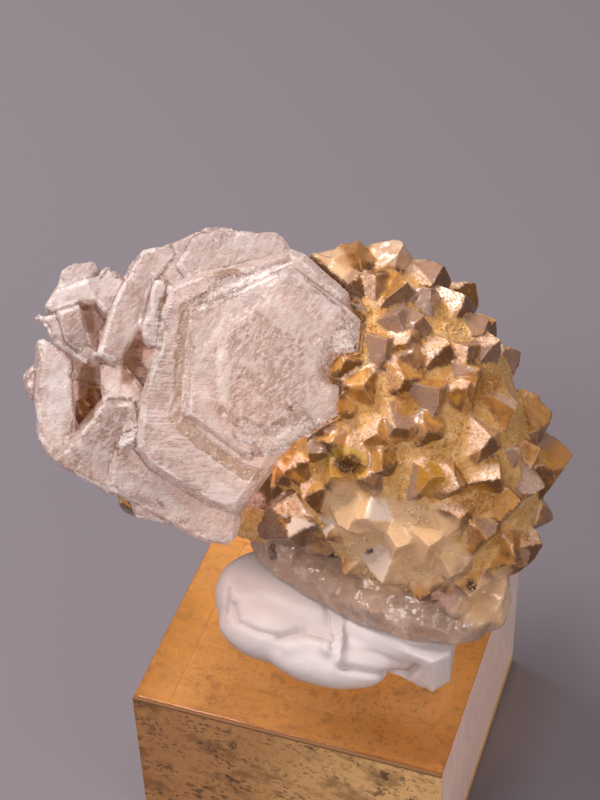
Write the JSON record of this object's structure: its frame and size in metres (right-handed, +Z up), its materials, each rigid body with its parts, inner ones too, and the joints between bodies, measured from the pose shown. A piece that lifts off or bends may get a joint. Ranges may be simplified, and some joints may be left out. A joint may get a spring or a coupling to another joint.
{
  "type": "calcite with quartz mineral specimen on a display block",
  "caption": "Hexagonal calcite tablets grown with a dome of pointed quartz crystals, pressed into white putty on a clear square display block, which a mottled brown sheet backs under it and up its front.",
  "frame": {"origin": "middle of the square underside that the display block stands on", "axes": "+Z up, -Y out of the block's front, +X to the right as the front is seen"},
  "size_m": [0.0683, 0.051, 0.0719],
  "materials": {
    "quartz": "satin",
    "calcite": "satin",
    "putty": "matte",
    "acrylic": "polished",
    "backing": "matte"
  },
  "bodies": {
    "root": {"quartz_crystals": "quartz", "calcite_crystals": "calcite", "mounting_putty": "putty", "acrylic_block": "acrylic", "brown_backing": "backing"}
  },
  "joints": []
}
